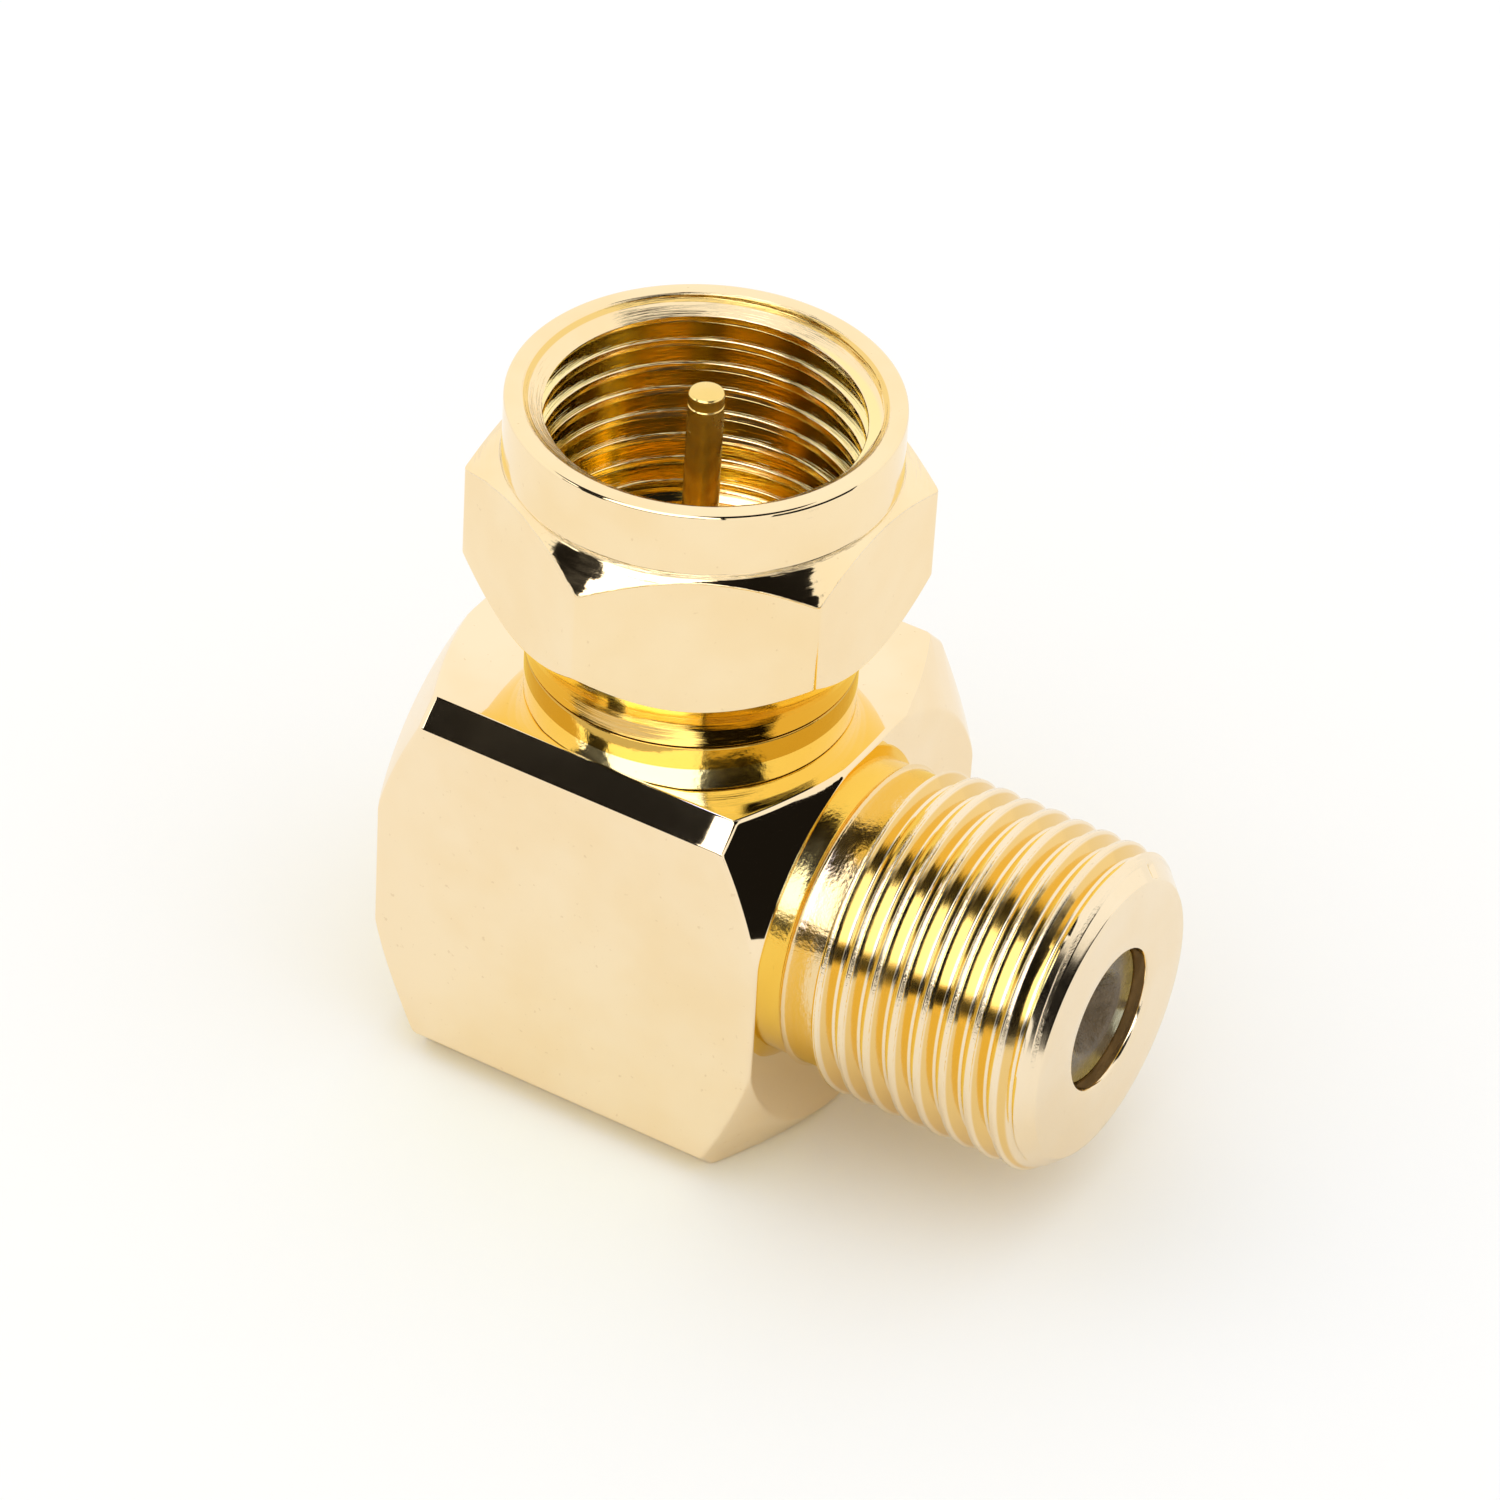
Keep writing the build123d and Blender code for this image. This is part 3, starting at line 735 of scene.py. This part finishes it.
def nut_thread(angles):
    """Thread rows, from the rim down."""
    groove = groove_profile(0.558, 0.12, NUT_CREST_R, NUT_ROOT_R, rim_fillet=0.05)
    extra = np.array([20.78, 20.80, 20.82, 14.6, *np.linspace(20.86, 21.12, 8)])
    centres = AXIS_HEIGHT + 8.442 + PITCH * (angles - math.radians(37)) / TURN
    z, radius = helix_rows(groove, centres, NUT_THREAD_BOTTOM_Z, RIM_Z - 0.05, (-2, 10), extra)
    mouth = np.interp(z, [NUT_THREAD_BOTTOM_Z, 20.80, RIM_Z],
                      [NUT_CREST_R, NUT_CREST_R, MOUTH_R])
    fade = np.interp(z, [NUT_THREAD_BOTTOM_Z, 14.60, 15.1],
                     [NUT_CREST_R, NUT_CREST_R, NUT_ROOT_R + 0.01])
    radius = np.maximum(np.minimum(radius, fade), mouth)
    return np.stack([radius, z], -1)[::-1]


def build_nut():
    angles, hex_r = hex_columns()

    def row(radius, z):
        return profile_row(len(angles), radius, z)

    groove_low, groove_high = RING_GROOVE_Z
    floor_rows = [row(radius, z) for radius, z in (
        (NUT_CREST_R, 14.33), (3.62, 14.32), (3.60, 14.315), (LIP_R, 14.17),
        (LIP_R, groove_high), (RING_GROOVE_R, groove_high), (RING_GROOVE_R, groove_low),
        (LIP_R + 0.001, groove_low))]
    profile = np.concatenate([nut_outside(row, hex_r), nut_thread(angles), np.stack(floor_rows)])
    nut = grid_object("coupling_nut_visual", around_z(profile, angles[None, :]), True)
    finish_piece(nut, "nut", "coupling_nut", MAT_NUT, sharp_deg=40)


# ---------------------------------------------------------------- turned pieces
# All profiles: radius, place along the axis, fillet radius.
POST_PROFILE = [
    (POST_BORE_R, POST_BASE_Z, 0), (2.85, POST_BASE_Z, 0), (POST_R, 8.90, 0), (POST_R, 12.16, 0),
    (4.60, 12.16, 0), (4.60, 12.86, 0.05), (3.38, 12.86, 0.05), (3.38, 13.21, 0.03),
    (2.95, 13.21, 0.02), (2.95, 14.07, 0.02), (3.38, 14.07, 0.03), (3.38, 14.83, 0.15),
    (POST_BORE_R, 14.83, 0.10),
]
POST_INSULATOR_PROFILE = [
    (0.52, POST_BASE_Z, 0), (2.18, POST_BASE_Z, 0.05), (2.18, 14.40, 0.14),
    (PIN_COLLAR_R, 14.48, 0), (PIN_COLLAR_R, PIN_STEP_Z[1], 0), (0.52, PIN_STEP_Z[0], 0),
]
PIN_PROFILE = [
    (0, 4.98, 0), (PIN_R, 4.98, 0.10), (PIN_R, PIN_STEP_Z[0], 0),
    (PIN_COLLAR_R, PIN_STEP_Z[1], 0.03), (PIN_COLLAR_R, 14.55, 0.06), (PIN_R, 14.55, 0.03),
    (PIN_R, 20.97, 0.02), (0.475, 21.00, 0.01), (0.475, 21.035, 0.01), (0.492, 21.06, 0.01),
    (0.492, 21.335, 0.02), (0.455, 21.385, 0.02), (0.10, 21.445, 0.04), (0, 21.45, 0),
]
JACK_INSULATOR_PROFILE = [
    (1.30, 7.20, 0), (3.03, 7.20, 0.05), (3.03, 12.38, 0.05), (2.05, 12.38, 0),
    (2.05, 13.35, 0.08), (1.30, 13.35, 0.06), (0.98, 13.13, 0.08), (0.60, 12.73, 0.06),
    (0.60, 12.25, 0.02), (1.30, 12.25, 0),
]
PLUG_PROFILE = [
    (0, -6.20, 0), (0.35, -6.20, 0), (2.60, -6.20, 0.05), (PLUG_R, -6.02, 0.03),
    (PLUG_R, PLUG_SEAT_X, 0), (0, PLUG_SEAT_X, 0),
]


# ---------------------------------------------------------------- split retaining ring
def build_ring():
    """Chamfered square section swept about Z, open at +X."""
    inner, outer, chamfer = 3.03, 3.95, 0.06
    bottom, top = RING_Z
    section = [
        (inner + chamfer, bottom), (outer - chamfer, bottom), (outer, bottom + chamfer),
        (outer, top - chamfer), (outer - chamfer, top), (inner + chamfer, top),
        (inner, top - chamfer), (inner, bottom + chamfer)]
    half_gap = math.asin(0.45 / 3.5)
    angles = np.linspace(half_gap, TURN - half_gap, 161)
    verts = [(r * math.cos(angle) * MM, r * math.sin(angle) * MM, z * MM)
             for angle in angles for r, z in section]
    count = len(section)
    faces = []
    for i in range(len(angles) - 1):
        for j in range(count):
            a, b = i * count + j, i * count + (j + 1) % count
            faces.append((a, b, b + count, a + count))
    faces.append(tuple(range(count)))
    faces.append(tuple((len(angles) - 1) * count + j for j in range(count))[::-1])
    mesh = bpy.data.meshes.new("retaining_ring_visual")
    mesh.from_pydata(verts, [], faces)
    ring = link_object("retaining_ring_visual", mesh)
    fix_normals(ring)
    finish_piece(ring, "clip", "retaining_ring", MAT_CLIP, sharp_deg=30)


# ---------------------------------------------------------------- build
build_elbow()
build_jack()
build_nut()
lathe_piece("male_post", MAT_POST_SHADED, "z", 192, POST_PROFILE)
lathe_piece("male_insulator", MAT_PLASTIC, "z", 128, POST_INSULATOR_PROFILE)
lathe_piece("centre_pin", MAT_PIN, "z", 96, PIN_PROFILE, closed=False)
build_ring()
lathe_piece("jack_insulator_front", MAT_PLASTIC, "x", 128,
            JACK_INSULATOR_PROFILE)
lathe_piece("rear_plug", MAT_BODY, "x", 128, PLUG_PROFILE, closed=False)

# CAD pieces kept as they are, with their finish
for node_name, finish in (("female_contact", MAT_PIN), ("solder_joint", MAT_SOLDER),
                          ("jack_insulator_rear", MAT_PLASTIC)):
    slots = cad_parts[node_name].data.materials
    slots.clear()
    slots.append(finish)


# ---------------------------------------------------------------- studio
def stage_mesh(name, verts, faces, material):
    mesh = bpy.data.meshes.new(name)
    mesh.from_pydata(verts, [], faces)
    mesh.materials.append(material)
    ob = link_object(name, mesh)
    return ob


def reflection_card(name, verts, faces, material):
    """A surface seen only in reflections."""
    ob = stage_mesh(name, verts, faces, material)
    ob.visible_camera = False
    ob.visible_diffuse = False
    ob.visible_shadow = False
    ob.visible_transmission = False


def flat_card(name, points, material):
    verts = [tuple(v * MM for v in point) for point in points]
    reflection_card(name, verts, [tuple(range(len(points)))], material)


def dome_card(name, origin, distance, azimuths, elevations, material, steps):
    """A patch of sphere about origin; angles in degrees, azimuth from +X towards +Y."""
    low, high = elevations
    corners = [np.array(c, float) for c in (
        (azimuths[0], low), (azimuths[1], low), (azimuths[1], high), (azimuths[0], high))]
    verts = []
    for i in range(steps + 1):
        for j in range(steps + 1):
            u, v = i / steps, j / steps
            azimuth, elevation = ((corners[0] * (1 - u) + corners[1] * u) * (1 - v)
                                  + (corners[3] * (1 - u) + corners[2] * u) * v)
            a, b = math.radians(azimuth), math.radians(elevation)
            toward = np.array([math.cos(a) * math.cos(b), math.sin(a) * math.cos(b),
                               math.sin(b)])
            verts.append(tuple((np.array(origin, float) + distance * toward) * MM))
    faces = []
    for i in range(steps):
        for j in range(steps):
            a = i * (steps + 1) + j
            faces.append((a, a + 1, a + steps + 2, a + steps + 1))
    reflection_card(name, verts, faces, material)


def floor_material():
    material, net, shader = new_material("floor_paper", "ShaderNodeBsdfDiffuse")
    mottle = net.noise(net.coords(), scale=30.0, detail=3.0)
    color = net.mix(mottle, (0.925, 0.925, 0.925, 1), (0.945, 0.945, 0.945, 1))
    net.put(shader.inputs["Color"], color)
    return material


def black_material():
    material, net, shader = new_material("black_card", "ShaderNodeEmission")
    net.put(shader.inputs["Color"], (0.010, 0.009, 0.008, 1))
    net.put(shader.inputs["Strength"], 1.0)
    return material


def softbox_material():
    """White in a first reflection, tinted in deeper ones."""
    material, net, shader = new_material("softbox", "ShaderNodeEmission")
    path = net.node("ShaderNodeLightPath")
    deep = net.math("GREATER_THAN", path.outputs["Ray Depth"], 1.5)
    net.put(shader.inputs["Color"], net.mix(deep, (1, 1, 1, 1), (0.92, 1.25, 4.2, 1)))
    net.put(shader.inputs["Strength"], 2.6)
    return material


FLOOR_HALF = 1.2               # metres
stage_mesh("floor", [(-FLOOR_HALF, -FLOOR_HALF, 0), (FLOOR_HALF, -FLOOR_HALF, 0),
                     (FLOOR_HALF, FLOOR_HALF, 0), (-FLOOR_HALF, FLOOR_HALF, 0)],
           [(0, 1, 2, 3)], floor_material())

# black cards: outline points (x, y, z)
FLAT_CARDS = (
    ("card_left", ((-15, -9, 79), (-23, -36, 79), (-33, -72, 79),
                   (-62, -72, 79), (-55, -20, 79), (-50, -9, 79))),
    ("card_left_mid", ((-33, -72, 79), (-32.5, -90, 42), (-62, -90, 42), (-62, -72, 79))),
    ("card_left_low", ((-32.5, -90, 42), (-32.5, -96, 4), (-62, -96, 4), (-62, -90, 42))),
    ("card_right", ((2, -11, 79), (14.2, -25.2, 79), (57, -66, 79), (75, -80, 79),
                    (105, -45, 79), (95, -15, 79), (62.8, 5, 79), (28.4, 21.2, 79))),
    ("card_right_low", ((57, -66, 79), (75, -80, 79), (75, -80, 0.5), (57, -66, 0.5))),
    ("card_low", ((45, -20, 0.5), (45, 20, 0.5), (45, 20, 25), (45, -20, 25))),
)
black = black_material()
for card_name, card_points in FLAT_CARDS:
    flat_card(card_name, card_points, black)
dome_card("card_horizon", origin=(8, -3, 8), distance=400, azimuths=(222, 302),
          elevations=(5.3, 18), material=black, steps=16)
dome_card("softbox", origin=(0, 0, 10), distance=480, azimuths=(222, 312),
          elevations=(20, 74), material=softbox_material(), steps=12)

world = bpy.data.worlds.new("studio")
scene.world = world
world.use_nodes = True
world_net = Net(world.node_tree)
background = world_net.node("ShaderNodeBackground")
world_output = world_net.node("ShaderNodeOutputWorld")
world_net.put(background.inputs["Color"], (1.0, 0.998, 0.992, 1))
world_net.put(background.inputs["Strength"], 1.10)
world_net.put(world_output.inputs[0], background.outputs[0])

# ---------------------------------------------------------------- camera
CAMERA_AZIMUTH = math.radians(29.3271)       # from -Y towards +X
CAMERA_ELEVATION = math.radians(37.8225)
CAMERA_ROLL = math.radians(3.6343)
CAMERA_DISTANCE = 209.46
CAMERA_SHIFT = (-1.9153, -2.4561)            # the jack axis height at x = y = 0, in the view


def build_camera():
    level = math.cos(CAMERA_ELEVATION)
    back = np.array([math.sin(CAMERA_AZIMUTH) * level, -math.cos(CAMERA_AZIMUTH) * level,
                     math.sin(CAMERA_ELEVATION)])
    flat_right = np.cross([0, 0, 1.0], back)
    flat_right /= np.linalg.norm(flat_right)
    flat_up = np.cross(back, flat_right)
    right = math.cos(CAMERA_ROLL) * flat_right + math.sin(CAMERA_ROLL) * flat_up
    up = -math.sin(CAMERA_ROLL) * flat_right + math.cos(CAMERA_ROLL) * flat_up
    place = (-CAMERA_SHIFT[0] * right - CAMERA_SHIFT[1] * up + CAMERA_DISTANCE * back
             + np.array([0, 0, AXIS_HEIGHT]))
    data = bpy.data.cameras.new("camera")
    data.lens = 179.948
    data.sensor_width = 36.0
    data.clip_start = 0.005
    data.clip_end = 20.0
    camera = bpy.data.objects.new("camera", data)
    scene.collection.objects.link(camera)
    matrix = Matrix.Identity(4)
    for i in range(3):
        matrix[i] = (right[i], up[i], back[i], place[i] * MM)
    camera.matrix_world = matrix
    scene.camera = camera


build_camera()
scene.view_settings.view_transform = "Standard"
scene.view_settings.look = "None"
scene.view_settings.exposure = 0.0
scene.view_settings.gamma = 1.0

bpy.context.view_layer.update()
